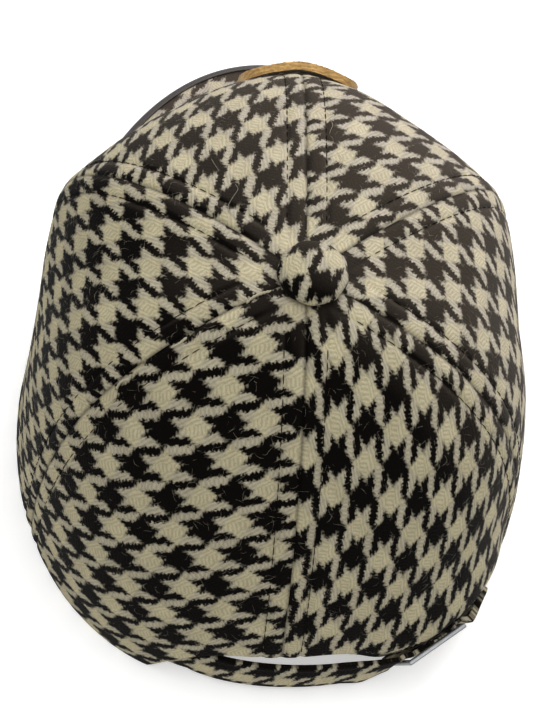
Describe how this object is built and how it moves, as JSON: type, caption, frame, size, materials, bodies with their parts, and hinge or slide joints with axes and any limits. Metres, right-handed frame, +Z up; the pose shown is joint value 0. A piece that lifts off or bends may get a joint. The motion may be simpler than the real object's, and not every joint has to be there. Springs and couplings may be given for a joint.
{
  "type": "jockey cap",
  "caption": "Wool cap of sewn crown panels with a covered button, curved bound peak, suede front patch and a back strap with a slide buckle.",
  "frame": {"origin": "middle of the cap's width and length, on the plane of the rim", "axes": "+Z up to the button, -Y the way the peak points, +X the wearer's left"},
  "size_m": [0.1744, 0.244, 0.1243],
  "materials": {
    "crown_cloth": "brushed houndstooth wool",
    "peak_cloth": "brushed houndstooth wool",
    "strap_cloth": "brushed houndstooth wool",
    "binding_leather": "smooth dark brown",
    "patch_suede": "tan suede",
    "buckle_metal": "satin"
  },
  "bodies": {
    "root": {"panel_front_left": "crown_cloth", "panel_front_right": "crown_cloth", "panel_side_left": "crown_cloth", "panel_side_right": "crown_cloth", "panel_back_left": "crown_cloth", "panel_back_right": "crown_cloth", "top_button": "crown_cloth", "peak": "peak_cloth", "peak_binding": "binding_leather", "front_patch": "patch_suede", "back_strap": "strap_cloth", "buckle_tab": "strap_cloth", "strap_buckle": "buckle_metal"}
  },
  "joints": []
}
